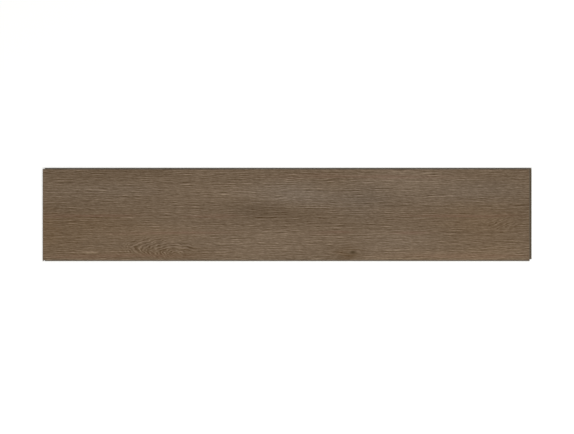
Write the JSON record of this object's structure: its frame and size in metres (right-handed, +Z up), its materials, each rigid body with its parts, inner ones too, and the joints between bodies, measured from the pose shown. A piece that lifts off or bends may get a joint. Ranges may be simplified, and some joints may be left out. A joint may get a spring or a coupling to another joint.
{
  "type": "rigid core vinyl floor plank",
  "caption": "Flat rigid vinyl floor plank with a wood-grain face, bevelled face edges, tongue and groove on the long edges and a drop-in hook and lip on the ends.",
  "frame": {"origin": "on the underside, below the centre of the printed face", "axes": "+X along the plank towards the end lip, +Y across it towards the groove, +Z up out of the printed face"},
  "size_m": [1.2242, 0.2332, 0.005],
  "materials": {
    "vinyl_plank": "matte"
  },
  "bodies": {
    "root": {"plank": "vinyl_plank"}
  },
  "joints": []
}
